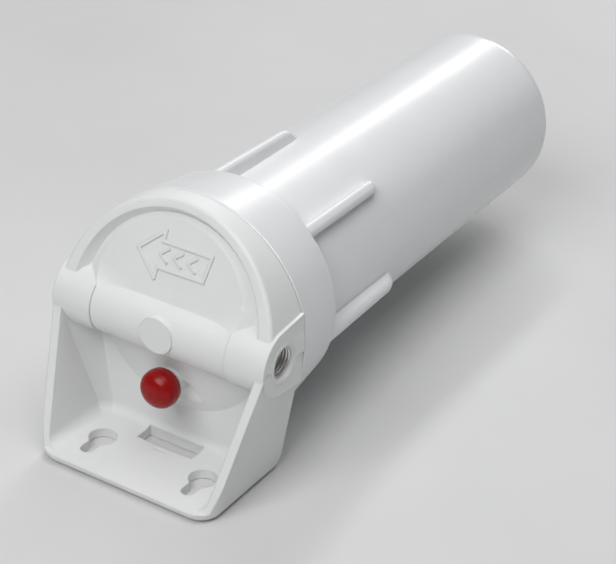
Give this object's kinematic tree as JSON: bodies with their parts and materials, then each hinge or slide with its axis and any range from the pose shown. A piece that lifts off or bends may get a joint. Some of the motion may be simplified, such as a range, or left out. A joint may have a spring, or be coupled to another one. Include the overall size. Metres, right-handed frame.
{
  "type": "cartridge filter housing",
  "caption": "Wall-mounted cartridge filter housing: white moulded head with bracket and side ports, screw-off sump, push-button pressure relief and a pleated cartridge inside.",
  "frame": {"origin": "on the back face of the mounting plate, midway between the two keyhole slots that hang on the screws", "axes": "+X along the cross tube towards the inlet port, +Y along the sump axis towards its closed end, +Z out from the wall"},
  "size_m": [0.109, 0.3092, 0.1177],
  "materials": {
    "head_plastic": "satin white moulded polypropylene, faint moulding texture",
    "sump_plastic": "semi-gloss white moulded polypropylene",
    "button_plastic": "glossy red moulded plastic",
    "insert_metal": "turned nickel-plated metal",
    "seal_rubber": "black nitrile rubber",
    "gasket_foam": "soft white gasket",
    "spring_steel": "bright stainless wire",
    "core_plastic": "natural white polypropylene",
    "filter_media": "pleated off-white non-woven sheet"
  },
  "bodies": {
    "housing": {"head": "head_plastic", "inlet_insert": "insert_metal", "outlet_insert": "insert_metal", "inlet_insert_seal": "seal_rubber", "outlet_insert_seal": "seal_rubber", "relief_spring": "spring_steel", "relief_seal": "seal_rubber"},
    "relief_button": {"relief_button": "button_plastic", "relief_clip": "spring_steel"},
    "cartridge": {"cartridge_core": "core_plastic", "cartridge_cage": "core_plastic", "pleated_media": "filter_media", "top_end_cap": "core_plastic", "bottom_end_cap": "core_plastic", "top_gasket": "gasket_foam", "bottom_gasket": "gasket_foam"},
    "sump": {"sump": "sump_plastic", "sump_oring": "seal_rubber"}
  },
  "joints": [
    {"name": "relief_press", "type": "slide", "parent": "housing", "child": "relief_button", "axis": [0, 1, 0], "range_m": [0, 0.0025], "stiffness_N_per_m": 500, "springref_m": -0.004, "deforming": ["relief_spring"]},
    {"name": "sump_drop", "type": "slide", "parent": "housing", "child": "cartridge", "axis": [0, 1, 0], "range_m": [0, 0.018]},
    {"name": "sump_unscrew", "type": "hinge", "parent": "cartridge", "child": "sump", "pos_m": [0, 0.0417, 0.0632], "axis": [0, 1, 0], "range_deg": [0, 1081]}
  ],
  "couplings": [
    {"joint": "sump_unscrew", "follows": "sump_drop", "rad_per_m": 1047.2}
  ]
}
